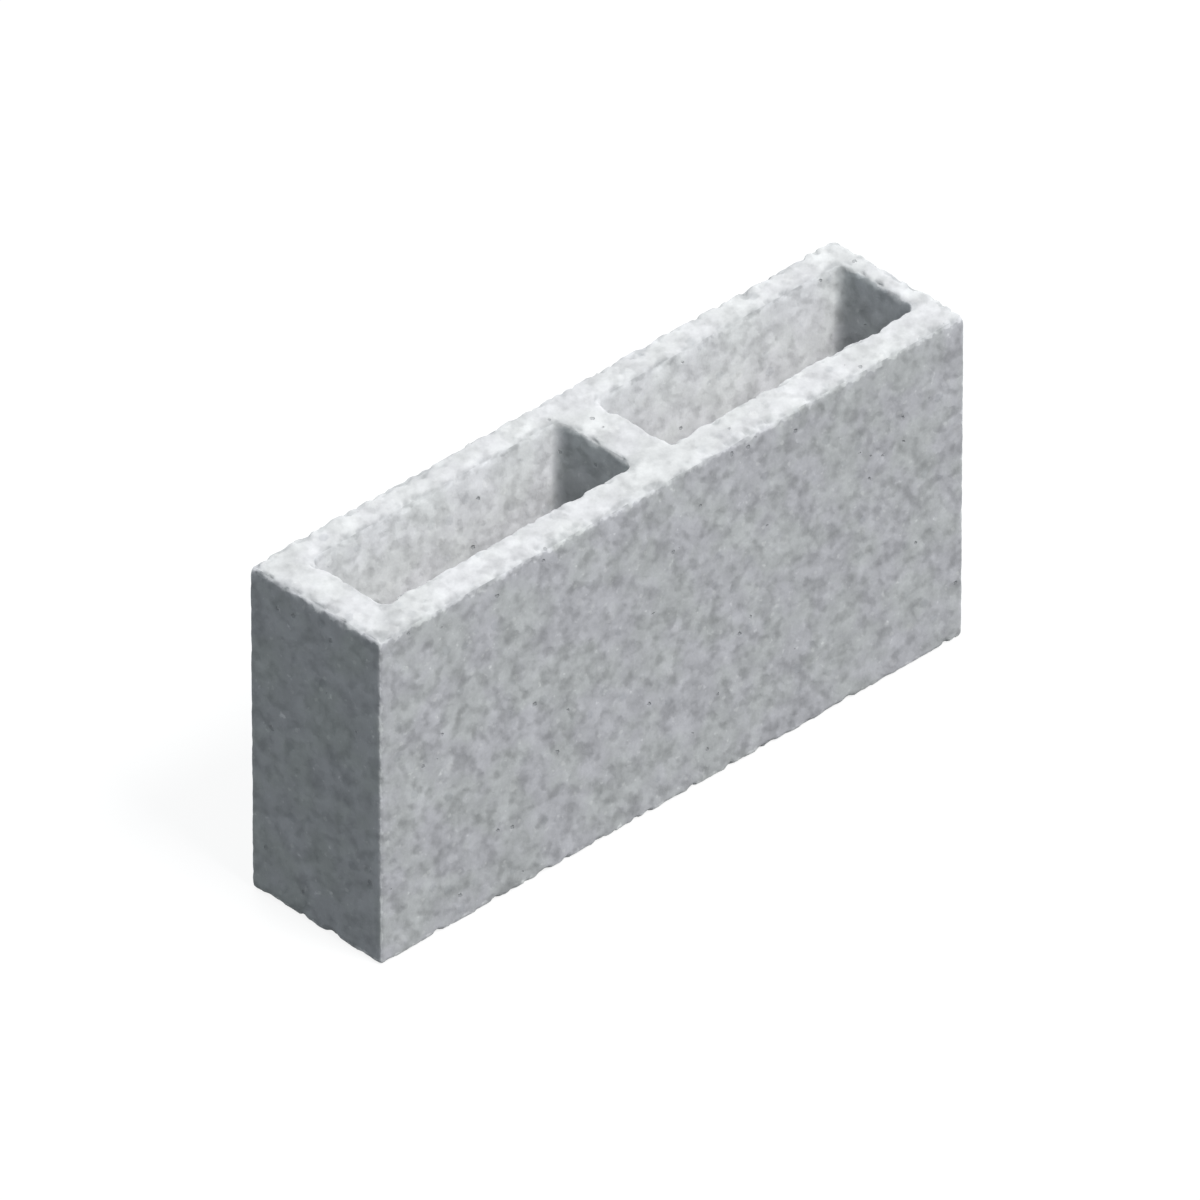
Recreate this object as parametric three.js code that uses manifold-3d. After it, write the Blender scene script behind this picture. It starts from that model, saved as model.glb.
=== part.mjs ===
// A hollow concrete block for walls 90 mm thick. Units are millimetres, with +Z up.
// It is pressed in one piece: two long face shells, two end walls and a middle web, round two
// cores that run through it from bed face to bed face.
// The origin is the centre of the bottom bed face. X runs along the block, Y through its thickness.
import * as THREE from "three";
import { mergeVertices, toCreasedNormals } from "three/addons/utils/BufferGeometryUtils.js";
import Module from "manifold-3d";

// Outside of the block. With a 10 mm mortar joint it fills a 400 by 100 by 200 mm module.
const LENGTH = 390;
const THICKNESS = 90;
const HEIGHT = 190;
const UPRIGHT_ARRIS = 3; // radius of the four upright outer edges
const BED_ARRIS = 2.5; // radius of the outer edges of both bed faces

// The walls round the cores, measured at the top bed face, where they are thickest. The core bars
// stand a little off the middle of the mould, so opposite walls differ.
const FRONT_SHELL = 22.5; // towards -Y
const BACK_SHELL = 17.5;
const LEFT_END = 24; // towards -X
const RIGHT_END = 12;
const MIDDLE_WEB = 25;

// The cores themselves.
const CORE_CORNER = 5; // radius of the upright inner corners
const MOUTH_ARRIS = 2.5; // radius of the edges of each mouth
const CORE_DRAFT = 1.5; // each core wall leans out by this much from the top down to the bottom

const ARC_STEPS = 6; // straight steps in the quarter circle of an upright corner
const ARRIS_STEPS = 4; // straight steps in the quarter circle of a rounded edge
const SAME_POINT = 1e-4; // vertices closer than this are one vertex
const CREASE = THREE.MathUtils.degToRad(30); // a sharper fold than this shows as an edge

const wasm = await Module();
wasm.setup();

function roundedRectangle(length, width, radius) {
  const x = length / 2 - radius;
  const y = width / 2 - radius;
  const quarter = Math.PI / 2;
  return new THREE.Shape()
    .absarc(x, y, radius, 0, quarter)
    .absarc(-x, y, radius, quarter, 2 * quarter)
    .absarc(-x, -y, radius, 2 * quarter, 3 * quarter)
    .absarc(x, -y, radius, 3 * quarter, 4 * quarter);
}

// A bar that stands from the bottom bed face to the top one. A positive endRadius rounds both
// ends in, as on the outside of the block, and a negative one flares them, as in a core's mouths.
function uprightBar(length, width, cornerRadius, endRadius) {
  const reach = Math.abs(endRadius);
  return new THREE.ExtrudeGeometry(roundedRectangle(length, width, cornerRadius), {
    depth: HEIGHT - 2 * reach,
    bevelThickness: reach,
    bevelSize: endRadius,
    bevelOffset: -endRadius,
    bevelSegments: ARRIS_STEPS,
    curveSegments: ARC_STEPS / 2, // a shape cuts each arc into twice this many steps
  }).translate(0, 0, reach);
}

// Moves each wall of an upright bar outwards, by nothing at the top and by draft at the bottom.
function addDraft(geometry, draft) {
  const points = geometry.getAttribute("position");
  for (let i = 0; i < points.count; i += 1) {
    const lean = draft * (1 - points.getZ(i) / HEIGHT);
    points.setX(i, points.getX(i) + Math.sign(points.getX(i)) * lean);
    points.setY(i, points.getY(i) + Math.sign(points.getY(i)) * lean);
  }
  return geometry;
}

function toSolid(geometry) {
  geometry.deleteAttribute("normal");
  geometry.deleteAttribute("uv");
  const merged = mergeVertices(geometry, SAME_POINT);
  return new wasm.Manifold(
    new wasm.Mesh({
      numProp: 3,
      vertProperties: merged.getAttribute("position").array,
      triVerts: Uint32Array.from(merged.index.array),
    }),
  );
}

function toGeometry(solid) {
  const { vertProperties, triVerts } = solid.getMesh();
  const geometry = new THREE.BufferGeometry()
    .setAttribute("position", new THREE.BufferAttribute(vertProperties, 3))
    .setIndex(new THREE.BufferAttribute(triVerts, 1));
  return toCreasedNormals(geometry, CREASE);
}

// The space that one core bar of the mould leaves in the block, at its place along X.
function coreSpace(length, centreX) {
  const width = THICKNESS - FRONT_SHELL - BACK_SHELL;
  const centreY = (FRONT_SHELL - BACK_SHELL) / 2;
  const bar = addDraft(uprightBar(length, width, CORE_CORNER, -MOUTH_ARRIS), CORE_DRAFT);
  return toSolid(bar.translate(centreX, centreY, 0));
}

function hollowBlock() {
  const outside = toSolid(uprightBar(LENGTH, THICKNESS, UPRIGHT_ARRIS, BED_ARRIS));
  const coreLength = (LENGTH - LEFT_END - MIDDLE_WEB - RIGHT_END) / 2;
  const leftCore = coreSpace(coreLength, LEFT_END + coreLength / 2 - LENGTH / 2);
  const rightCore = coreSpace(coreLength, LENGTH / 2 - RIGHT_END - coreLength / 2);
  return outside.subtract(leftCore).subtract(rightCore);
}

// Dry-pressed concrete: a pale grey with a faint blue cast, matt all over.
const concrete = new THREE.MeshStandardMaterial({
  color: 0xb9bbbe,
  roughness: 0.93,
  metalness: 0,
});

const block = new THREE.Mesh(toGeometry(hollowBlock()), concrete);
block.name = "hollow_block";

const group = new THREE.Group();
group.add(block);

export default group;
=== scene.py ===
# %% [markdown]
# # Dressing a hollow concrete block
# A hollow concrete block is pressed from damp, nearly dry concrete in a steel mould, stripped from
# it at once and left to cure. Its sides slid along steel, so they are flat, with small open voids
# between the grains. Its edges are soft and a little ragged, because fresh concrete crumbles there.
# This lesson gives that surface to a block that was already built as a plain solid. The
# solid sets the size, and nothing made here may stand outside it.

# %% Load the block
import math

import bmesh
import bpy
import numpy as np
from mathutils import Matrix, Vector, noise


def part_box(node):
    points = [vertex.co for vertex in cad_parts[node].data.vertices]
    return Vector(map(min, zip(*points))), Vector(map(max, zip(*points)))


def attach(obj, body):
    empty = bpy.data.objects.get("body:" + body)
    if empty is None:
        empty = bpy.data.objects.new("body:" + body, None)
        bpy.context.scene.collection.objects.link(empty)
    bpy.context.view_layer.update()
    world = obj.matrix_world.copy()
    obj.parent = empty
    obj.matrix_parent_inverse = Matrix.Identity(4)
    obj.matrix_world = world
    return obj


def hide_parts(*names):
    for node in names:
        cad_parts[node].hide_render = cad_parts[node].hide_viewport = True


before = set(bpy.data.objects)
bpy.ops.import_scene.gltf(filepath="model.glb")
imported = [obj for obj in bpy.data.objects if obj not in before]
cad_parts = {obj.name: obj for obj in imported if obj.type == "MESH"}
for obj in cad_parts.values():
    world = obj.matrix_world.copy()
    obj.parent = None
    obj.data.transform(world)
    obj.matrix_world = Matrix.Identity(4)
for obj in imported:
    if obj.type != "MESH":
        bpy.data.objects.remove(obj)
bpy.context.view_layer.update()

MM = 0.001
low_corner, high_corner = (np.array(corner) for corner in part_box("hollow_block"))
LENGTH, THICKNESS, HEIGHT = high_corner - low_corner
print("solids:", *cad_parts)
print(f"block {LENGTH / MM:.0f} x {THICKNESS / MM:.0f} x {HEIGHT / MM:.0f} mm")

# %% [markdown]
# ## The walls
# Two cores run through the block from bed to bed. The mould's core bars taper, so the walls are
# thickest at the top, where the mortar goes, and each core wall leans outwards on its way down.
# The bars stand a little off the middle of the mould, so opposite walls differ by some millimetres.
# Everything about the cores is worked out from the walls, because the walls are what a mason sees.

# %% Sizes of the walls and cores
FRONT_SHELL = 22.5 * MM
BACK_SHELL = 17.5 * MM
LEFT_END = 24 * MM
RIGHT_END = 12 * MM
MIDDLE_WEB = 25 * MM
CORE_CORNER = 5 * MM
CORE_DRAFT = 1.5 * MM

CORES = 2
core_half_length = (LENGTH - LEFT_END - MIDDLE_WEB - RIGHT_END) / CORES / 2
core_half_width = (THICKNESS - FRONT_SHELL - BACK_SHELL) / 2
core_line = (FRONT_SHELL - BACK_SHELL) / 2  # both cores are centred on this y
left_centre = LEFT_END + core_half_length - LENGTH / 2
right_centre = LENGTH / 2 - RIGHT_END - core_half_length
print(f"cores {2 * core_half_length / MM:.0f} x {2 * core_half_width / MM:.0f} mm")

# %% [markdown]
# ## The plan, as a grid
# The relief will be real geometry, so the whole skin needs small, even, four-sided faces. A voxel
# remesh would give them too, but it would blur the edges and put no row of points along them.
# So the plan starts as one grid whose lines are moved to where the walls are. The lines stand
# closer together across the thin walls, because that is where the worn edges need them.

# %% Where the grid's lines go
FINE_CELL = 1.3 * MM  # across walls and along edges
BED_CELL = 1.7 * MM  # along the block, where its long edges are seen
THIN_RUN = 30 * MM  # a run between two stops that is shorter than this gets the fine cells


def spaced(stops, wide_cell):
    """Places from the first stop to the last, in even cells between one stop and the next."""
    places = [stops[0]]
    for low, high in zip(stops, stops[1:]):
        cell = FINE_CELL if high - low < THIN_RUN else wide_cell
        steps = round((high - low) / cell)
        places.extend(low + (high - low) * step / steps for step in range(1, steps + 1))
    return places


x_stops = [-LENGTH / 2]
for centre in (left_centre, right_centre):
    x_stops += [centre - core_half_length, centre + core_half_length]
x_stops += [LENGTH / 2]
y_stops = [-THICKNESS / 2, core_line - core_half_width, core_line + core_half_width, THICKNESS / 2]
x_lines = spaced(x_stops, BED_CELL)
y_lines = spaced(y_stops, BED_CELL)
print(f"{len(x_lines)} lines along the block, {len(y_lines)} across it")

# %% Lay the grid
bm = bmesh.new()
bmesh.ops.create_grid(bm, x_segments=len(x_lines) - 1, y_segments=len(y_lines) - 1, size=1)
for vert in bm.verts:
    column = round((vert.co.x + 1) / 2 * (len(x_lines) - 1))
    row = round((vert.co.y + 1) / 2 * (len(y_lines) - 1))
    vert.co = (x_lines[column], y_lines[row], 0)
print(f"{len(bm.faces)} faces in the grid")


# %% Cut the two cores out of it
def over_core(point):
    """Whether a point of the plan lies over one of the cores."""
    beside = min(abs(point.x - left_centre), abs(point.x - right_centre))
    return beside < core_half_length and abs(point.y - core_line) < core_half_width


core_faces = [face for face in bm.faces if over_core(face.calc_center_median())]
bmesh.ops.delete(bm, geom=core_faces, context="FACES")
print(f"{len(bm.faces)} faces in the plan")

# %% [markdown]
# ## From plan to block
# One extrusion raises the plan to the full height and makes every wall at once. The upright edges
# are then cut into rows, close together near the beds, where the edges wear. The rows on the
# outside and the rows in the cores meet nowhere but at the beds, so the cores can have fewer.

# %% Raise the plan
raised = bmesh.ops.extrude_face_region(bm, geom=bm.faces[:])
top_verts = [item for item in raised["geom"] if isinstance(item, bmesh.types.BMVert)]
bmesh.ops.translate(bm, verts=top_verts, vec=(0, 0, HEIGHT))
bmesh.ops.recalc_face_normals(bm, faces=bm.faces[:])
print(f"raised {len(top_verts)} points by {HEIGHT / MM:.0f} mm")

# %% Cut the rows
TALL_CELL = 2.4 * MM  # up the outside
DEEP_CELL = 4.0 * MM  # down the core walls, which are seen less
EDGE_BAND = 7 * MM  # the rows are fine within this of a bed
TOUCH = 0.01 * MM  # a point nearer to a face than this is on it


def on_outside(vert):
    """Whether a point is on one of the four upright outer faces."""
    beside = LENGTH / 2 - abs(vert.co.x)
    across = THICKNESS / 2 - abs(vert.co.y)
    return min(beside, across) < TOUCH


def cut_rows(uprights, wide_cell):
    """Cuts upright edges into even rows, and then moves each row to its line."""
    z_lines = spaced([0, EDGE_BAND, HEIGHT - EDGE_BAND, HEIGHT], wide_cell)
    cuts = len(z_lines) - 2
    made = bmesh.ops.subdivide_edges(bm, edges=uprights, cuts=cuts, use_grid_fill=True)
    for item in made["geom_inner"]:
        if isinstance(item, bmesh.types.BMVert):
            item.co.z = z_lines[round(item.co.z / HEIGHT * (cuts + 1))]


upright_edges = [e for e in bm.edges if abs(e.verts[0].co.z - e.verts[1].co.z) > HEIGHT / 2]
outer_edges = [edge for edge in upright_edges if on_outside(edge.verts[0])]
core_edges = [edge for edge in upright_edges if not on_outside(edge.verts[0])]
cut_rows(outer_edges, TALL_CELL)
cut_rows(core_edges, DEEP_CELL)
open_edges = [edge for edge in bm.edges if len(edge.link_faces) != 2]
print(f"{2 * len(bm.faces)} triangles, {len(open_edges)} open edges")

# %% [markdown]
# ## Which surface a point is on
# From here on the block is shaped by moving its points. Each kind of surface is treated in its own
# way, so the points go into arrays, with a mask for each kind: outside, beds and core walls.

# %% Read the points and sort them
bm.verts.ensure_lookup_table()
points = np.array([vert.co for vert in bm.verts])
outside = np.array([on_outside(vert) for vert in bm.verts])
bed_depth = np.minimum(points[:, 2], HEIGHT - points[:, 2])
on_bed = bed_depth < TOUCH
core_wall = ~outside & ~on_bed
toward_bed = np.where(points[:, 2] > HEIGHT / 2, 1.0, -1.0)
print(f"{outside.sum()} outside, {on_bed.sum()} on the beds, {core_wall.sum()} in the cores")

# %% [markdown]
# ## Draft
# The draft moves each core wall outwards towards the bottom. Moving only the wall's own points
# would fold the cells beside it on the bed, so everything between a core wall and the outside moves
# in proportion.

# %% Lean the core walls outwards
lean = CORE_DRAFT * (1 - points[:, 2] / HEIGHT)
points[:, 0] += lean * np.interp(points[:, 0], x_stops, [0, -1, 1, -1, 1, 0])
points[:, 1] += lean * np.interp(points[:, 1], y_stops, [0, -1, 1, 0])
print(f"core walls lean by up to {lean.max() / MM:.1f} mm")

# %% [markdown]
# ## Round corners in the cores
# The upright inner corners of a core are round, because the core bar's are. A bevel would break the
# even grid there. Instead each point near a corner is pulled onto a circle about the corner's
# centre, and the rows on the bed bend with it, less and less the further out they lie.

# %% Pull points onto a rounded box
NOTHING = 1e-9  # keeps a division from failing where there is no way to go


def pull_round(places, low, high, radius):
    """Pulls places on a box's skin onto that box with round edges. Gives the ways out as well."""
    heart = np.clip(places, low + radius, high - radius)
    way = places - heart
    reach = np.maximum(np.linalg.norm(way, axis=1, keepdims=True), NOTHING)
    return heart + way * (radius / reach), way / reach


# %% Round the cores' corners
CORNER_FADE = 9 * MM  # how far out on a bed the rows still bend round a corner
SHARP = 0.001  # the share of the corner's radius that is left past there

centre = np.where(points[:, 0] < (left_centre + right_centre) / 2, left_centre, right_centre)
offset = np.column_stack([points[:, 0] - centre, points[:, 1] - core_line])
half = np.column_stack([core_half_length + lean, core_half_width + lean])
beyond = np.maximum(np.max(np.abs(offset) - half, axis=1), 0)
half += beyond[:, None]
radius = CORE_CORNER * np.clip(1 - beyond / CORNER_FADE, SHARP, 1)
rounded, outward = pull_round(offset, -half, half, radius[:, None])
near_core = (core_wall | on_bed) & (beyond < CORNER_FADE)
points[near_core, 0] = (rounded[:, 0] + centre)[near_core]
points[near_core, 1] = rounded[near_core, 1] + core_line
print(f"{near_core.sum()} points bend round the cores")

# %% [markdown]
# ## Worn edges
# A steel mould leaves the upright edges sharp, and the flat pallet under it does the same for the
# bottom ones. The edges of the top are open while the block is pressed and stripped, so they
# crumble to a soft, uneven round. A bevel has one radius, so here the radius itself is noise: it
# wanders along each edge, and in a few places it is large enough to read as a chip.

# %% Noise at every point
SEED_STEP = (17.3, 5.1, 9.7)  # from the noise of one seed to that of the next, in lumps


def drift(size, seed):
    """Smooth noise from about -1 to 1 at every point, with lumps of about this size."""
    shift = Vector([seed * step for step in SEED_STEP])
    return np.array([noise.noise(Vector(place) / size + shift) for place in points])


# %% Crumbs and chips
WANDER_SIZE = 13 * MM  # the slow wander of an edge
WANDER_SHARE = 0.45
CRUMB_SIZE = 4.5 * MM  # the small crumbs on top of it
CRUMB_SHARE = 0.9
CHIP_SIZE = 23 * MM
CHIP_LEVEL = 0.38  # only noise above this makes a chip, so there are few of them

crumbs = WANDER_SHARE * drift(WANDER_SIZE, seed=1) + CRUMB_SHARE * drift(CRUMB_SIZE, seed=2)
chips = np.maximum(drift(CHIP_SIZE, seed=3) - CHIP_LEVEL, 0)
print(f"crumbs from {crumbs.min():.2f} to {crumbs.max():.2f}, chips at {np.mean(chips > 0):.0%}")

# %% How far each edge has crumbled
UPRIGHT_ROUND = 1.8 * MM
BED_ROUND = 3.0 * MM
MOUTH_ROUND = 2.8 * MM
LEAST_ROUND = 0.8 * MM
MOST_ROUND = 6.0 * MM
CHIP_ROUND = 10 * MM  # what a chip adds to the radius, for each unit of noise
PALLET_SHARE = 0.3  # how far the bottom edges have crumbled, next to the top ones
UPRIGHT_CRUMBS = 0.2  # how strong the crumbs are on the upright edges, next to the bed edges
MOUTH_CRUMBS = 0.7  # and how strong they are at the mouths

bed_share = np.clip(1 - bed_depth / (2 * BED_ROUND), 0, 1)
bed_share *= np.where(toward_bed > 0, 1, PALLET_SHARE)
edge_round = UPRIGHT_ROUND + (BED_ROUND - UPRIGHT_ROUND) * bed_share
edge_round *= 1 + crumbs * (UPRIGHT_CRUMBS + (1 - UPRIGHT_CRUMBS) * bed_share)
edge_round += chips * CHIP_ROUND * bed_share
edge_round = np.clip(edge_round, LEAST_ROUND, MOST_ROUND)
mouth_round = MOUTH_ROUND * (1 + MOUTH_CRUMBS * crumbs) + chips * CHIP_ROUND
mouth_round = np.clip(mouth_round, LEAST_ROUND, MOST_ROUND)
print(f"edges {edge_round.min() / MM:.1f} to {edge_round.max() / MM:.1f} mm")

# %% How worn each point is
FAR = 1.0  # a metre is further than anything on the block
WORN_STRIP = 1.3  # width of the worn strip beside an edge, in radii of that edge
BED_STRIP = 1.8  # the same beside the outer edge of a bed, which is knocked the most
BED_WEAR = 1.15  # wear of the very edge. Over 1, the strip beside it is fully worn too
UPRIGHT_WEAR = 0.8

side_gaps = np.array([LENGTH, THICKNESS]) / 2 - np.abs(points[:, :2])
to_sides = np.sort(side_gaps, axis=1)  # the nearest side comes first
to_bed_edge = to_sides[:, 0] + bed_depth
to_upright_edge = np.where(outside, to_sides[:, 1], FAR)
to_mouth = np.where(outside, FAR, beyond + bed_depth)
past_bed_edge = to_bed_edge / edge_round / BED_STRIP
past_mouth = to_mouth / mouth_round / WORN_STRIP
bed_wear = BED_WEAR - np.minimum(past_bed_edge, past_mouth)
upright_wear = UPRIGHT_WEAR - to_upright_edge / edge_round / WORN_STRIP
wear = np.clip(np.maximum(bed_wear, upright_wear), 0, 1)
print(f"wear on {np.mean(wear > 0):.0%} of the points")

# %% [markdown]
# ## Rounding them
# The same pull that made the cores' corners also rounds the outside, in three directions at once.
# At a mouth it works on two lengths: how far a point is from the core wall, and how deep it is.

# %% Round the outside
skin = outside | on_bed
rounded, _ = pull_round(points, low_corner, high_corner, edge_round[:, None])
points[skin] = rounded[skin]
print(f"outside {np.ptp(points[:, 0]) / MM:.1f} x {np.ptp(points[:, 1]) / MM:.1f} mm")

# %% Round the mouths of the cores
depth = np.minimum(points[:, 2], HEIGHT - points[:, 2])
at_mouth = (core_wall | on_bed) & (beyond < mouth_round) & (depth < mouth_round)
profile = np.column_stack([beyond, depth])
rounded, _ = pull_round(profile, 0, FAR, mouth_round[:, None])
shift = rounded - profile
points[at_mouth, :2] += (shift[:, :1] * outward)[at_mouth]
points[at_mouth, 2] -= (toward_bed * shift[:, 1])[at_mouth]
print(f"mouths {mouth_round.min() / MM:.1f} to {mouth_round.max() / MM:.1f} mm")

# %% [markdown]
# ## Relief
# Pressed concrete is flat where grains met the steel, with dents and pits between them. So the
# relief only ever goes inwards: noise below a level is left at the mould's plane, and the rest
# sinks. That also keeps the block inside its size. On the worn edges whole grains have gone, so the
# small dents are much deeper there.

# %% Which way is out
for vert, place in zip(bm.verts, points):
    vert.co = place
bm.normal_update()
normals = np.array([vert.normal for vert in bm.verts])
print(f"{len(normals)} normals")

# %% Sink the dents
BARE_WEAR = 2 / 3  # from this wear on, every loose grain has gone
BED_DENTS = 1.4  # the beds were struck off, so their dents are deeper by this


def dents(size, seed, level, depth):
    """Dents of about this size and depth. A higher level leaves less of the surface flat."""
    return np.clip(drift(size, seed) + level, 0, 1) * depth


waves = dents(40 * MM, seed=4, level=0.1, depth=0.15 * MM)
hollows = dents(10 * MM, seed=5, level=0.1, depth=0.4 * MM)
lost_grains = dents(4.6 * MM, seed=6, level=0.05, depth=1.8 * MM)
sunk = waves + hollows + lost_grains * np.clip(wear / BARE_WEAR, 0, 1)
sunk *= np.where(on_bed, BED_DENTS, 1)
print(f"dents up to {sunk.max() / MM:.1f} mm deep")

# %% [markdown]
# ## Pits
# Air trapped against the mould leaves single round pits. A Voronoi grid scatters them: each cell
# has one, at its own place and of its own size, and in nearly half of the cells it is closed.

# %% Sink the pits
PIT_SPACING = 11 * MM
PIT_RADIUS = 2.8 * MM
PIT_DEPTH = 1.1 * MM
PIT_BOWL = 0.7  # under 1, a pit has steep sides and a rounder floor
CLOSED_PITS = 0.45
APART = 31.7  # carries two centres so far apart that their chances have nothing in common


def pit(place):
    """How deep a place lies in its cell's pit, from 0 to 1."""
    distances, centres = noise.voronoi(Vector(place) / PIT_SPACING)
    chance = (noise.cell(centres[0] * APART) + 1) / 2
    size = max(0.0, chance - CLOSED_PITS) / (1 - CLOSED_PITS)
    radius = PIT_RADIUS * (1 + size) / 2
    fill = max(0.0, 1 - distances[0] * PIT_SPACING / radius)
    return size * fill**PIT_BOWL


pits = np.array([pit(place) for place in points]) * PIT_DEPTH
sunk += np.where(core_wall, 0, pits)
print(f"pits up to {pits.max() / MM:.1f} mm deep")

# %% Move the points in
CLEAN_STRIP = 4 * MM  # beside a sharp upright edge, where deep relief would look chewed
CLEANED = 0.75  # the share of the relief that the very edge does without

near_upright = np.clip(1 - to_upright_edge / CLEAN_STRIP, 0, 1) * (1 - bed_share)
sunk *= 1 - CLEANED * near_upright
points -= normals * sunk[:, None]
print(f"relief up to {sunk.max() / MM:.1f} mm deep, {np.mean(sunk) / MM:.2f} mm on average")

# %% [markdown]
# ## One mesh, four kinds of face
# The sides, the ends, the beds and the core walls were made by different parts of the mould, so
# they will have different finishes, and their pastes also differ in lightness as painted light and
# shade. Each face notes its kind now. They stay one mesh, because the block is one casting and its
# edges have no seams.

# %% Hand the shape over to a mesh
SIDE, END, BED, CORE = range(4)
for vert, place in zip(bm.verts, points):
    vert.co = place
for face in bm.faces:
    corners = [vert.index for vert in face.verts]
    if on_bed[corners].all():
        face.material_index = BED
    elif core_wall[corners].any():
        face.material_index = CORE
    elif abs(face.normal.x) > abs(face.normal.y):
        face.material_index = END
    else:
        face.material_index = SIDE
    face.smooth = True
mesh = bpy.data.meshes.new("pressed_block")
bm.to_mesh(mesh)
bm.free()
print(f"{len(mesh.polygons)} faces of four kinds")

# %% [markdown]
# ## Notes for the finishes
# A material can't know by itself where an edge is worn, how deep a dent is, or which walls are a
# core's short ones. So the mesh carries that as numbers on its points, and the finishes read them.
# The depth of the dents and the short walls are used for painted shade.

# %% Keep the notes on the points
def keep_on_points(name, values):
    """Stores one number for each point of the mesh under this name."""
    attribute = mesh.attributes.new(name, "FLOAT", "POINT")
    attribute.data.foreach_set("value", values.astype(np.float32))
    print(f"{name}: {values.mean():.2f} on average")


# Dents are darkened in the colour by their depth, as painted shade.
SHALLOW = 0.35 * MM  # a dent looks darker from this depth on
DEEP = 1.15 * MM  # and no darker past this one

keep_on_points("wear", wear)
keep_on_points("hollow", np.interp(sunk, [SHALLOW, DEEP], [0, 1]))
# The cores' short walls are marked here for painted shade.
keep_on_points("shaded_short_wall", np.abs(outward[:, 0]) * core_wall)

# %% Make it the block
block = bpy.data.objects.new("pressed_block", mesh)
bpy.context.scene.collection.objects.link(block)
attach(block, "root")
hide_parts("hollow_block")
print(f"{block.name} stands for hollow_block")

# %% [markdown]
# ## Nodes, with short helpers
# Every finish below is a tree of nodes, and written out in full a tree hides what it is for. These
# helpers keep it readable: `add` makes any node and fills its inputs, `calculate` does one sum,
# `ramp` turns a value into a soft mask, and `mix` blends two colours.

# %% Add one node
def socket(sockets, key):
    """The socket at this place in the list, or the first one in use that has this name."""
    if isinstance(key, int):
        return sockets[key]
    return next(item for item in sockets if item.name == key and item.enabled)


def add(tree, kind, inputs=None, **settings):
    """Adds a node, sets it up, and gives each named input a value or a link."""
    node = tree.nodes.new(kind)
    for name, value in settings.items():
        setattr(node, name, value)
    for key, value in (inputs or {}).items():
        target = socket(node.inputs, key)
        if isinstance(value, bpy.types.NodeSocket):
            tree.links.new(value, target)
        else:
            target.default_value = value
    return node


# %% Sums, masks and blends
def calculate(tree, operation, *values):
    """The result of one sum. Each value is a number or a link."""
    return add(tree, "ShaderNodeMath", dict(enumerate(values)), operation=operation).outputs[0]


def ramp(tree, value, low, high, low_result=0.0, high_result=1.0):
    """Goes softly from one result to the other while the value goes from low to high."""
    inputs = {"Value": value, "From Min": low, "From Max": high}
    inputs |= {"To Min": low_result, "To Max": high_result}
    return add(tree, "ShaderNodeMapRange", inputs, interpolation_type="SMOOTHSTEP").outputs[0]


def mix(tree, factor, first, second, blend_type="MIX"):
    """Goes from the first colour to the second while the factor goes from 0 to 1."""
    inputs = {"Factor": factor, "A": first, "B": second}
    node = add(tree, "ShaderNodeMix", inputs, data_type="RGBA", blend_type=blend_type)
    return socket(node.outputs, "Result")


# %% [markdown]
# ## Patterns in millimetres
# Every pattern reads Object coordinates, so it goes through the block as its grains do, and meets
# round the edges. The coordinates are turned into millimetres first, so sizes can be read as real
# ones. While the press shakes the mould, the mix creeps down towards one corner. So every pattern
# is drawn out a little along that slant.

# %% Place patterns
SLANT = (0, math.radians(35), math.radians(45))  # turns the X axis towards the lower corner
DRAWN_OUT = 1.4


def millimetres(tree):
    """Object coordinates in millimetres. A pattern on them is drawn out along the slant."""
    place = add(tree, "ShaderNodeTexCoord").outputs["Object"]
    inputs = {"Vector": place, "Rotation": SLANT, "Scale": (MM * DRAWN_OUT, MM, MM)}
    return add(tree, "ShaderNodeMapping", inputs, vector_type="TEXTURE").outputs[0]


def cloud(tree, place, size, detail):
    """Soft noise from 0 to 1 with features of this size in millimetres."""
    scale = calculate(tree, "DIVIDE", 1.0, size)
    inputs = {"Vector": place, "Scale": scale, "Detail": detail, "Roughness": 0.55}
    return add(tree, "ShaderNodeTexNoise", inputs).outputs[0]


def bend(tree, place, frequency, reach):
    """Moves a pattern's places about by noise, so that its shapes aren't regular."""
    wander = add(tree, "ShaderNodeTexNoise", {"Vector": place, "Scale": frequency, "Detail": 1.0})
    inputs = {0: wander.outputs["Color"], 1: (reach, reach, reach), 2: place}
    return add(tree, "ShaderNodeVectorMath", inputs, operation="MULTIPLY_ADD").outputs[0]


# %% [markdown]
# ## Groups
# An effect that several finishes share is a node group: it is built once, and each finish places it
# with values of its own. A group here gives only masks, tones, tints and heights.

# %% Start a group
def start_group(name, inputs, outputs):
    """A new node group. Each input has a name and a default, and each output a name and a kind."""
    tree = bpy.data.node_groups.new(name, "ShaderNodeTree")
    for label, default in inputs.items():
        item = tree.interface.new_socket(label, in_out="INPUT", socket_type="NodeSocketFloat")
        item.default_value = default
    for label, kind in outputs.items():
        tree.interface.new_socket(label, in_out="OUTPUT", socket_type=f"NodeSocket{kind}")
    given = tree.nodes.new("NodeGroupInput").outputs
    result = tree.nodes.new("NodeGroupOutput").inputs
    return tree, given, result


# %% [markdown]
# ## Grain and voids
# The concrete is sand and small stone, held by just enough cement paste to coat them. Where the
# paste closed the surface it is a pale, flat skin. Between the grains it stays open, and those
# voids look darker because light is lost in them. One noise gives the voids, and a finer one gives
# the sand in the skin. Both tone and height come from the same noise, so each dark spot is a dip.

# %% Voids
VOID_LEVEL = 0.3  # noise lower than about this is a void
OPEN_RISE = 0.16  # what full openness adds to the level
DRIFT_RISE = 0.14  # what the slow drift adds to it where it is strongest
DRIFT_SIZE = 17.0
CLOSED_ABOVE = 0.14  # above the level by this, the skin is closed
OPEN_BELOW = 0.17  # below it by this, the void is at its darkest
VOID_SPACING = 1.9  # in grains


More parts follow.
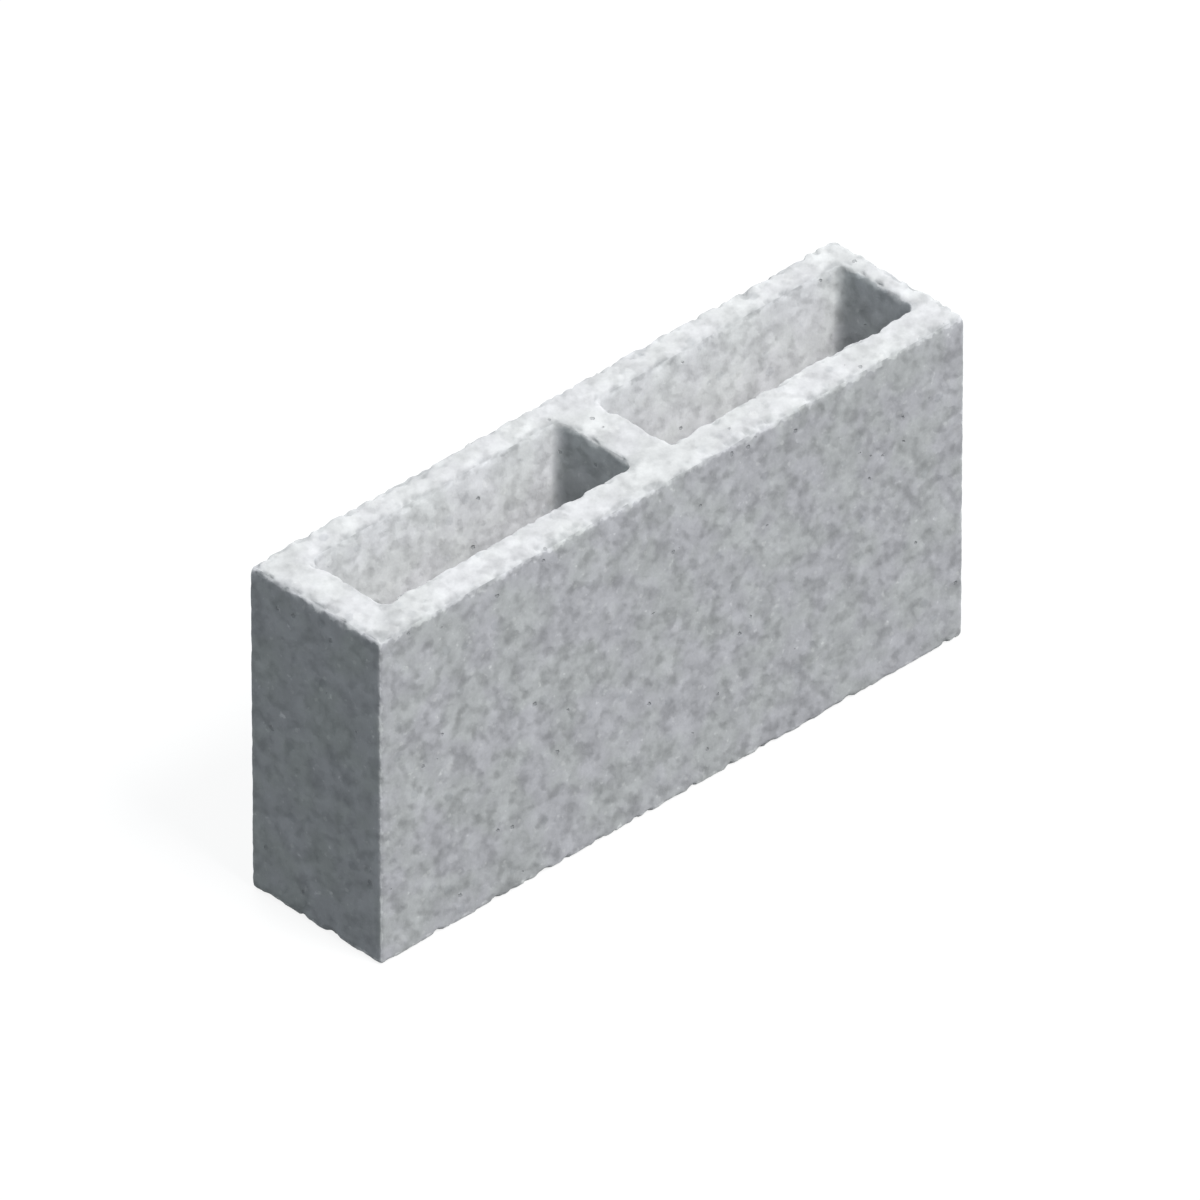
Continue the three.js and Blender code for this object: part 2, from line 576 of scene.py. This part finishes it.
def find_voids(tree, place, bent, grain_size, openness):
    """A mask of the voids: the places where soft noise is lower than a level that drifts too."""
    level = calculate(tree, "MULTIPLY_ADD", openness, OPEN_RISE, VOID_LEVEL)
    slow_drift = cloud(tree, place, DRIFT_SIZE, detail=2.0)
    level = calculate(tree, "MULTIPLY_ADD", slow_drift, DRIFT_RISE, level)
    closed = calculate(tree, "ADD", level, CLOSED_ABOVE)
    darkest = calculate(tree, "SUBTRACT", level, OPEN_BELOW)
    spacing = calculate(tree, "MULTIPLY", grain_size, VOID_SPACING)
    return ramp(tree, cloud(tree, bent, spacing, detail=1.3), closed, darkest)


# %% Tone and height of the grain
MIDDLE = 0.5  # the middle of a noise or a random value that runs from 0 to 1
SAND_GAIN = 2.0  # sand noise keeps near its middle, so it is doubled beside a grain's own tone
SAND_RELIEF = 0.04  # millimetres
GRAIN_RELIEF = 0.1  # how far the skin falls from the middle of a grain to its edge


def grain_shade(tree, grain, sand, void, given):
    """What the paste's colour is multiplied by: about 1 on the skin, and less in a void."""
    tone = add(tree, "ShaderNodeSeparateColor", {0: grain["Color"]}).outputs[0]
    tone = calculate(tree, "SUBTRACT", tone, MIDDLE)
    tone = calculate(tree, "MULTIPLY_ADD", sand, SAND_GAIN, tone)
    strength = calculate(tree, "DIVIDE", given["Sand"], MIDDLE)  # a tone strays by half at most
    light = calculate(tree, "MULTIPLY_ADD", tone, strength, 1.0)
    dark = calculate(tree, "MULTIPLY", void, given["Void Shade"])
    return calculate(tree, "SUBTRACT", light, dark)


def grain_height(tree, grain, sand, void, given):
    """The skin's height in millimetres, with a dip at each void."""
    skin = calculate(tree, "MULTIPLY", sand, SAND_RELIEF)
    skin = calculate(tree, "MULTIPLY_ADD", grain["Distance"], -GRAIN_RELIEF, skin)
    dip = calculate(tree, "MULTIPLY", void, given["Void Depth"])
    return calculate(tree, "SUBTRACT", skin, dip)


# %% Build the grain group
SAND_SIZE = 1.3
OVER_GRAINS = 0.75  # how strong a void is over the middle of a grain
OFF_GRAINS = 0.5  # what it gains on the way out to the gaps between grains


def build_grain():
    """Grains and voids, as a shade, a mask of the voids and a height."""
    inputs = {"Grain Size": 3.9, "Openness": 0.5, "Void Shade": 0.24, "Void Depth": 0.24, "Sand": 0.02}
    outputs = {"Shade": "Float", "Void": "Float", "Height": "Float"}
    tree, given, result = start_group("grain_and_voids", inputs, outputs)
    place = millimetres(tree)
    bent = bend(tree, place, frequency=0.6, reach=1.2)
    cells = {"Vector": bent, "Scale": calculate(tree, "DIVIDE", 1.0, given["Grain Size"])}
    grain = add(tree, "ShaderNodeTexVoronoi", cells).outputs
    void = find_voids(tree, place, bent, given["Grain Size"], given["Openness"])
    off_middle = calculate(tree, "MULTIPLY_ADD", grain["Distance"], OFF_GRAINS, OVER_GRAINS)
    void = calculate(tree, "MULTIPLY", void, off_middle)
    sand = calculate(tree, "SUBTRACT", cloud(tree, place, SAND_SIZE, detail=1.0), MIDDLE)
    tree.links.new(grain_shade(tree, grain, sand, void, given), result["Shade"])
    tree.links.new(void, result["Void"])
    tree.links.new(grain_height(tree, grain, sand, void, given), result["Height"])
    return tree


grain_group = build_grain()
print(f"{grain_group.name}: {len(grain_group.nodes)} nodes")

# %% [markdown]
# ## Scattered spots
# Stones that show through the skin, deep pores and pale sand grains are all the same idea: one
# spot in some of the cells of a scattered grid. A Voronoi texture gives each cell a centre and a
# random colour. The colour decides whether the cell has a spot, and also which tone it has.

# %% Build the spots group
SPOT_CORE = 0.6  # the share of a spot's radius within which it is at full strength


def build_spots():
    """A mask of the spots, and a random value for each cell."""
    inputs = {"Spacing": 6.0, "Radius": 0.4, "Share": 0.3, "Seed": 0.0}
    outputs = {"Mask": "Float", "Chance": "Float"}
    tree, given, result = start_group("scattered_spots", inputs, outputs)
    apart = {0: millimetres(tree), 1: given["Seed"]}
    place = add(tree, "ShaderNodeVectorMath", apart, operation="ADD").outputs[0]
    bent = bend(tree, place, frequency=0.7, reach=1.5)
    cells = {"Vector": bent, "Scale": calculate(tree, "DIVIDE", 1.0, given["Spacing"])}
    cell = add(tree, "ShaderNodeTexVoronoi", cells).outputs
    chance = add(tree, "ShaderNodeSeparateColor", {0: cell["Color"]}).outputs
    core_radius = calculate(tree, "MULTIPLY", given["Radius"], SPOT_CORE)
    disc = ramp(tree, cell["Distance"], given["Radius"], core_radius)
    there = calculate(tree, "LESS_THAN", chance[0], given["Share"])
    tree.links.new(calculate(tree, "MULTIPLY", disc, there), result["Mask"])
    tree.links.new(chance[1], result["Chance"])
    return tree


spots_group = build_spots()
print(f"{spots_group.name}: {len(spots_group.nodes)} nodes")

# %% [markdown]
# ## Patches of damp and tint
# Cement dries unevenly, so a block is never one grey. Broad patches differ a little in tone, and
# lean a little towards green or towards violet. The hues are kept very weak.

# %% Build the patches group
WHITE = (1, 1, 1, 1)
GREENISH = (0.985, 1.0, 0.984, 1)
VIOLET = (1.0, 0.995, 1.019, 1)
ALL_GREENISH = 0.38  # noise below this is all greenish
ALL_VIOLET = 0.62  # and above this all violet
SMALL_PATCH = 0.4  # size of the patches of tone, next to those of hue
TONE_GAIN = 4.0  # the noise keeps near its middle, so it is made stronger by this


def build_patches():
    """A tint for a finish: small patches of tone and broad ones of weak hue."""
    inputs = {"Patch Size": 26.0, "Tone": 0.15, "Hue": 1.0}
    tree, given, result = start_group("dry_and_damp_patches", inputs, {"Tint": "Color"})
    place = millimetres(tree)
    wide_noise = cloud(tree, place, given["Patch Size"], detail=3.0)
    side = ramp(tree, wide_noise, ALL_GREENISH, ALL_VIOLET)
    hue = mix(tree, given["Hue"], WHITE, mix(tree, side, GREENISH, VIOLET))
    small_patch = calculate(tree, "MULTIPLY", given["Patch Size"], SMALL_PATCH)
    tone = calculate(tree, "SUBTRACT", cloud(tree, place, small_patch, detail=3.0), MIDDLE)
    strength = calculate(tree, "MULTIPLY", given["Tone"], TONE_GAIN)
    tone = calculate(tree, "MULTIPLY_ADD", tone, strength, 1.0)
    tree.links.new(mix(tree, 1.0, hue, tone, "MULTIPLY"), result["Tint"])
    return tree


patches_group = build_patches()
print(f"{patches_group.name}: {len(patches_group.nodes)} nodes")

# %% [markdown]
# ## Crumbled edges
# Where an edge crumbled, its skin is gone and the grains underneath show, whichever face the edge
# belongs to. So the same group fades every finish into the same bare grain there. The mesh says
# how worn each point is, and noise makes the border of the worn strip ragged.

# %% Build the edge group
RAGGED_SIZE = 4.0
RAGGEDNESS = 2.6  # how strongly the noise moves the border
BARE_FROM = 0.85  # with no spread, the bare grain begins at this much wear
BARE_OVER = 0.5  # and is complete after this much more


def build_edge():
    """Masks of the bare grain on the worn edges and of the deeper dents, the dents for painted shade.
    """
    outputs = {"Mask": "Float", "Dent Shade": "Float"}
    tree, given, result = start_group("crumbled_edge", {"Spread": 0.5}, outputs)
    ragged = cloud(tree, millimetres(tree), RAGGED_SIZE, detail=2.0)
    ragged = calculate(tree, "SUBTRACT", ragged, MIDDLE)
    worn = add(tree, "ShaderNodeAttribute", attribute_name="wear").outputs["Fac"]
    worn = calculate(tree, "MULTIPLY_ADD", ragged, RAGGEDNESS, worn)
    low = calculate(tree, "SUBTRACT", BARE_FROM, given["Spread"])
    high = calculate(tree, "ADD", low, BARE_OVER)
    tree.links.new(ramp(tree, worn, low, high), result["Mask"])
    # The depth of the dents, read for painted shade.
    hollow = add(tree, "ShaderNodeAttribute", attribute_name="hollow").outputs["Fac"]
    tree.links.new(hollow, result["Dent Shade"])
    return tree


edge_group = build_edge()
print(f"{edge_group.name}: {len(edge_group.nodes)} nodes")

# %% [markdown]
# ## The effects in one material
# Every face is the same concrete, so every finish takes the same effects. They are placed once in
# each material, and both its colour and its bump read them from there.

# %% Place the effects
STONES = {"Spacing": 7.5, "Radius": 0.42, "Share": 0.35}
PORES = {"Spacing": 5.2, "Radius": 0.26, "Share": 0.04, "Seed": 31.0}
PALE_SAND = {"Spacing": 4.2, "Radius": 0.34, "Share": 0.12, "Seed": 77.0}


def place_group(tree, group, values=None):
    """Puts a group in a tree with values of its own, and gives its outputs."""
    return add(tree, "ShaderNodeGroup", values, node_tree=group).outputs


def place_effects(tree, grain_values, patch_values):
    """Places every effect once, and gives the outputs of each under its name."""
    return {
        "grain": place_group(tree, grain_group, grain_values),
        "patches": place_group(tree, patches_group, patch_values),
        "stones": place_group(tree, spots_group, STONES),
        "pores": place_group(tree, spots_group, PORES),
        "pale_sand": place_group(tree, spots_group, PALE_SAND),
        "edge": place_group(tree, edge_group),
    }


# %% [markdown]
# ## Colour, from wide to small
# The paste's own colour comes first, with painted shade on the cores' short walls, then the bare
# grain of worn edges, the patches, the voids, and last the stones and single sand grains. Pores,
# dents and the gaps between bare grains get painted shade, all towards the same dark grey, so the
# strongest of them decides, and they don't add up to black.

# %% Lay the ground
BARE_GRAIN = (0.64, 0.637, 0.64, 1)
# The colour of the cores' short walls is painted shade: darker, as if they were in shade.
SHORT_WALL_PAINTED_SHADE = (0.48, 0.492, 0.502, 1)


def lay_ground(tree, paste, effects):
    """The concrete's colour, with painted shade on the cores' short walls, without its stones, sand
    grains and holes.
    """
    shaded_short_wall = add(tree, "ShaderNodeAttribute", attribute_name="shaded_short_wall").outputs["Fac"]
    color = mix(tree, shaded_short_wall, paste, SHORT_WALL_PAINTED_SHADE)
    color = mix(tree, effects["edge"]["Mask"], color, BARE_GRAIN)
    color = mix(tree, 1.0, color, effects["patches"]["Tint"], "MULTIPLY")
    return mix(tree, 1.0, color, effects["grain"]["Shade"], "MULTIPLY")


# %% Add the stones and the pale sand
DARK_STONE = (0.62, 0.64, 0.67, 1)  # the colour around a stone is multiplied by its own
PALE_STONE = (1.22, 1.21, 1.18, 1)
STONE_STRENGTH = 0.3  # the paste's skin hides most of a stone
SAND_GRAIN = (0.78, 0.78, 0.76, 1)
SAND_STRENGTH = 0.18


def add_stones(tree, color, effects):
    """Darker and paler stones that show through the skin, and pale grains of sand."""
    stone = mix(tree, effects["stones"]["Chance"], DARK_STONE, PALE_STONE)
    stone = mix(tree, 1.0, color, stone, "MULTIPLY")
    showing = calculate(tree, "MULTIPLY", effects["stones"]["Mask"], STONE_STRENGTH)
    color = mix(tree, showing, color, stone)
    sand = calculate(tree, "MULTIPLY", effects["pale_sand"]["Mask"], SAND_STRENGTH)
    return mix(tree, sand, color, SAND_GRAIN)


# %% Paint shade into the holes
# The grey that the painted shade in holes goes towards.
PAINTED_SHADE_GREY = (0.2, 0.21, 0.22, 1)
PORE_PAINTED_SHADE = 0.45
DENT_PAINTED_SHADE = 0.3
GAP_PAINTED_SHADE = 0.24


def paint_shade_in_holes(tree, color, effects):
    """Painted shade in pores, dents and the gaps between bare grains, as dark as the darkest of the
    three.
    """
    gaps = calculate(tree, "MULTIPLY", effects["edge"]["Mask"], effects["grain"]["Void"])
    holes = (
        (effects["pores"]["Mask"], PORE_PAINTED_SHADE),
        (effects["edge"]["Dent Shade"], DENT_PAINTED_SHADE),
        (gaps, GAP_PAINTED_SHADE),
    )
    dark = 0.0
    for mask, strength in holes:
        dark = calculate(tree, "MAXIMUM", dark, calculate(tree, "MULTIPLY", mask, strength))
    return mix(tree, dark, color, PAINTED_SHADE_GREY)


# %% [markdown]
# ## The fine surface
# What is too small for the mesh is a bump: the voids, the sand in the skin, the pores, and stones
# that stand out by a hair. The height is in millimetres, so the Bump node's distance is one.

# %% Raise and sink the fine surface
PORE_DEPTH = 0.5  # millimetres
STONE_HEIGHT = 0.08


def bump_normal(tree, effects):
    """The normal of the fine surface, from the heights of all the effects."""
    height = effects["grain"]["Height"]
    height = calculate(tree, "MULTIPLY_ADD", effects["pores"]["Mask"], -PORE_DEPTH, height)
    height = calculate(tree, "MULTIPLY_ADD", effects["stones"]["Mask"], STONE_HEIGHT, height)
    return add(tree, "ShaderNodeBump", {"Height": height, "Distance": MM, "Strength": 1.0}).outputs[0]


# %% Make a concrete material
SKIN_ROUGHNESS = 0.86
VOID_ROUGHNESS = 0.97


def concrete(name, paste, grain_values, patch_values):
    """Concrete with paste of this colour, and with the effects at these strengths."""
    material = bpy.data.materials.new(name)
    material.use_nodes = True
    tree = material.node_tree
    shader = tree.nodes["Principled BSDF"]
    effects = place_effects(tree, grain_values, patch_values)
    color = lay_ground(tree, paste, effects)
    color = add_stones(tree, color, effects)
    color = paint_shade_in_holes(tree, color, effects)
    roughness = ramp(tree, effects["grain"]["Void"], 0.0, 1.0, SKIN_ROUGHNESS, VOID_ROUGHNESS)
    tree.links.new(color, shader.inputs["Base Color"])
    tree.links.new(roughness, shader.inputs["Roughness"])
    tree.links.new(bump_normal(tree, effects), shader.inputs["Normal"])
    shader.inputs["Diffuse Roughness"].default_value = 0.6
    shader.inputs["Specular IOR Level"].default_value = 0.35
    print(f"{name}: {len(tree.nodes)} nodes")
    return material


# %% [markdown]
# ## Pressed sides
# The long sides slid along the mould's steel. Their voids show most, because the steel dragged the
# paste off the grains.

# %% Moulded side
def moulded_side():
    """Grey paste with strong voids."""
    grain = {"Grain Size": 3.9, "Openness": 0.5, "Void Shade": 0.24, "Void Depth": 0.24, "Sand": 0.02}
    patches = {"Hue": 1.0, "Tone": 0.18}
    paste = (0.468, 0.467, 0.477, 1)
    return concrete("moulded_side", paste, grain, patches)


# %% [markdown]
# ## Pressed ends
# Thin plates divide the mould into blocks and form their ends. The ends get the same skin as the
# sides, only a little darker as painted shade, since an end stands in shade, and the same voids are
# fainter there.

# %% Moulded end
def moulded_end():
    """The same skin, a little darker as painted shade, and with fainter voids."""
    grain = {"Grain Size": 3.9, "Openness": 0.5, "Void Shade": 0.17, "Void Depth": 0.24, "Sand": 0.015}
    patches = {"Hue": 1.0, "Tone": 0.12}
    paste = (0.42, 0.425, 0.434, 1)
    return concrete("moulded_end", paste, grain, patches)


# %% [markdown]
# ## Struck beds
# The beds were levelled by a plate, with no steel sliding over them. The paste stayed, so they are
# more closed. They are paler too, partly from that paste and partly as painted light, because the
# top faces the lamps.

# %% Struck bed
def struck_bed():
    """Pale paste, partly painted light, more closed than on the sides."""
    grain = {"Grain Size": 3.8, "Openness": 0.36, "Void Shade": 0.14, "Void Depth": 0.18, "Sand": 0.015}
    patches = {"Hue": 0.4, "Tone": 0.15}
    paste = (0.62, 0.614, 0.617, 1)
    return concrete("struck_bed", paste, grain, patches)


# %% [markdown]
# ## Core walls
# The long walls of a core get a paler paste than the outside, as painted light for the light that
# bounces about inside a core. The short walls get painted shade: a grey about as dark as the outside.

# %% Core wall
def core_wall_painted_light():
    """A paler paste as painted light, over the same open voids as on the sides."""
    grain = {"Grain Size": 4.0, "Openness": 0.5, "Void Shade": 0.2, "Void Depth": 0.24, "Sand": 0.015}
    patches = {"Hue": 0.5, "Tone": 0.15}
    paste_with_painted_light = (0.704, 0.702, 0.706, 1)
    return concrete("core_wall", paste_with_painted_light, grain, patches)


# %% Give each kind of face its finish
finishes = {SIDE: moulded_side, END: moulded_end, BED: struck_bed, CORE: core_wall_painted_light}
for kind in sorted(finishes):
    mesh.materials.append(finishes[kind]())
print("finishes:", *mesh.materials.keys())

# %% [markdown]
# ## Floor and background
# The block stands on a plain pale floor in a white surround. The camera sees the surround as white,
# but a white floor would throw so much light back up that the shaded sides would look washed out.
# The Light Path node splits the two: the camera sees a bright floor, and the block a dim one.

# %% What a ray sees
def seen_directly(tree):
    """1 for rays that show the stage itself, or show it in gloss or through glass."""
    path = add(tree, "ShaderNodeLightPath").outputs
    glossy = calculate(tree, "MAXIMUM", path["Is Glossy Ray"], path["Is Transmission Ray"])
    return calculate(tree, "MAXIMUM", path["Is Camera Ray"], glossy)


def show_either(tree, hidden, shown):
    """A shader that rays see directly, and another one that only lights the block."""
    sides = {0: seen_directly(tree), 1: hidden.outputs[0], 2: shown.outputs[0]}
    return add(tree, "ShaderNodeMixShader", sides).outputs[0]


# %% Floor paper
DIM_PAPER = (0.2, 0.2, 0.2, 1)  # what the block sees
SHADOW_PAPER = (0.14, 0.14, 0.14, 1)  # what the camera sees of the lamps' light and of the shadow
PAPER_GLOW = 0.87  # lifts the lit paper to white


def build_floor_paper():
    """Dim paper for the block, and glowing paper with a faint shadow for the camera."""
    paper = bpy.data.materials.new("floor_paper")
    paper.use_nodes = True
    tree = paper.node_tree
    tree.nodes.clear()
    dim = add(tree, "ShaderNodeBsdfDiffuse", {"Color": DIM_PAPER})
    faint = add(tree, "ShaderNodeBsdfDiffuse", {"Color": SHADOW_PAPER})
    glow = add(tree, "ShaderNodeEmission", {"Strength": PAPER_GLOW})
    bright = add(tree, "ShaderNodeAddShader", {0: faint.outputs[0], 1: glow.outputs[0]})
    add(tree, "ShaderNodeOutputMaterial", {"Surface": show_either(tree, dim, bright)})
    return paper


# %% Lay the floor
FLOOR_SIZE = 6  # metres
FLOOR_GAP = 0.2 * MM  # keeps the paper from showing through the bottom bed

bm = bmesh.new()
bmesh.ops.create_grid(bm, x_segments=1, y_segments=1, size=FLOOR_SIZE / 2)
bmesh.ops.translate(bm, verts=bm.verts, vec=(0, 0, -FLOOR_GAP))
floor_mesh = bpy.data.meshes.new("floor")
bm.to_mesh(floor_mesh)
bm.free()
floor_mesh.materials.append(build_floor_paper())
floor = bpy.data.objects.new("floor", floor_mesh)
bpy.context.scene.collection.objects.link(floor)
print(f"floor {FLOOR_SIZE} m wide")

# %% [markdown]
# ## The room
# The room is an even light from all round, so that no side goes black. It is a little cooler than
# the lamps, as daylight from a window is, and the shaded end takes its tint from it.

# %% Light the room evenly
SKY_TINT = (0.89, 1.0, 1.05, 1)
SKY_STRENGTH = 0.42

world = bpy.data.worlds.new("studio")
world.use_nodes = True
world.node_tree.nodes.clear()
cool = add(world.node_tree, "ShaderNodeBackground", {"Color": SKY_TINT, "Strength": SKY_STRENGTH})
white = add(world.node_tree, "ShaderNodeBackground", {"Color": WHITE, "Strength": 1.0})
surround = show_either(world.node_tree, cool, white)
add(world.node_tree, "ShaderNodeOutputWorld", {"Surface": surround})
bpy.context.scene.world = world
print(f"{world.name}: {len(world.node_tree.nodes)} nodes")

# %% [markdown]
# ## Lamps
# The key lamp stands in front of the block and high up, so the long face is lit, the end is in
# shade, and the beds are the brightest. It is far off, or the top of the face would get more light
# than the foot. A weak lamp from behind keeps the back from going black. Both are broad discs,
# because a small lamp would draw hard shadows into the cores.

# %% Hang the lamps
def hang_lamp(name, place, size, watts):
    """Hangs a round lamp at this place and turns it to the middle of the block."""
    data = bpy.data.lights.new(name, "AREA")
    data.shape = "DISK"
    data.size = size
    data.energy = watts
    lamp = bpy.data.objects.new(name, data)
    bpy.context.scene.collection.objects.link(lamp)
    lamp.location = place
    aim = Vector((0, 0, HEIGHT / 2)) - Vector(place)
    lamp.rotation_euler = aim.to_track_quat("-Z", "Y").to_euler()
    print(f"{name}: {watts} W at {aim.length:.2f} m")


hang_lamp("key", place=(0.55, -5.18, 8.43), size=3.5, watts=862)
hang_lamp("back", place=(0.6, 1.3, 1.7), size=1.2, watts=14)

# %% [markdown]
# ## Camera
# A long lens from far away keeps the block's parallel edges nearly parallel, as in a technical
# view. The lens is worked out from the width that the frame should show at the block.

# %% Place the camera
CAMERA_TURN = math.radians(-44.13)
CAMERA_RISE = math.radians(35.48)
CAMERA_DISTANCE = 15.86
FRAME_WIDTH = 0.576
SIDE_STEP = 4.28 * MM  # to the left, which puts the block where it is in the frame

right = Vector((math.cos(CAMERA_TURN), math.sin(CAMERA_TURN), 0))
level_back = Vector((math.sin(CAMERA_TURN), -math.cos(CAMERA_TURN), 0))
back = level_back * math.cos(CAMERA_RISE) + Vector((0, 0, math.sin(CAMERA_RISE)))
lens = bpy.data.cameras.new("camera")
lens.lens = lens.sensor_width * CAMERA_DISTANCE / FRAME_WIDTH
camera = bpy.data.objects.new("camera", lens)
bpy.context.scene.collection.objects.link(camera)
camera.location = Vector((0, 0, HEIGHT / 2)) + back * CAMERA_DISTANCE - right * SIDE_STEP
camera.rotation_euler = (-back).to_track_quat("-Z", "Y").to_euler()
bpy.context.scene.camera = camera
bpy.context.scene.view_settings.view_transform = "Standard"
print(f"lens {lens.lens:.0f} mm")
